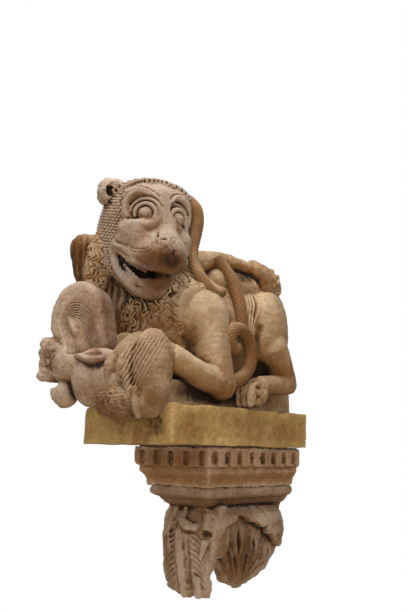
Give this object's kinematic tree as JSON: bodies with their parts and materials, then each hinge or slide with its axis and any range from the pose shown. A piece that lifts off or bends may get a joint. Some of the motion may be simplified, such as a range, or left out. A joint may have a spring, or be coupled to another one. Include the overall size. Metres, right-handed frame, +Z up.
{
  "type": "console lion sculpture",
  "caption": "Carved stone lion holding a ram, with a serpent, on a slab, a moulded impost block and a leaf capital that are set against a wall.",
  "frame": {"origin": "centre of the impost block's back face, on the wall", "axes": "+Z up, +Y into the wall, the lion faces -Y and turns its head to +X"},
  "size_m": [0.5879, 1.0035, 1.4871],
  "materials": {
    "carved_stone": "weathered carved limestone, warm tan brown with ochre stains",
    "slab_stone": "sawn and worn limestone, yellow ochre",
    "brown_stone": "weathered carved limestone, purple brown",
    "mortar": "lime mortar",
    "iron": "wrought iron, dark",
    "lead": "poured lead, dull grey"
  },
  "bodies": {
    "root": {"lion_group": "carved_stone", "plinth_slab": "slab_stone", "impost_block": "brown_stone", "leaf_capital": "brown_stone", "lion_bed": "mortar", "impost_bed": "mortar", "capital_bed": "mortar", "lion_dowel_front": "iron", "lion_lead_front": "lead", "lion_dowel_rear": "iron", "lion_lead_rear": "lead", "slab_dowel_front": "iron", "slab_lead_front": "lead", "slab_dowel_rear": "iron", "slab_lead_rear": "lead", "capital_dowel_right": "iron", "capital_lead_right": "lead", "capital_dowel_left": "iron", "capital_lead_left": "lead", "wall_tie_right": "iron", "tie_lead_right": "lead", "wall_tie_left": "iron", "tie_lead_left": "lead"}
  },
  "joints": []
}
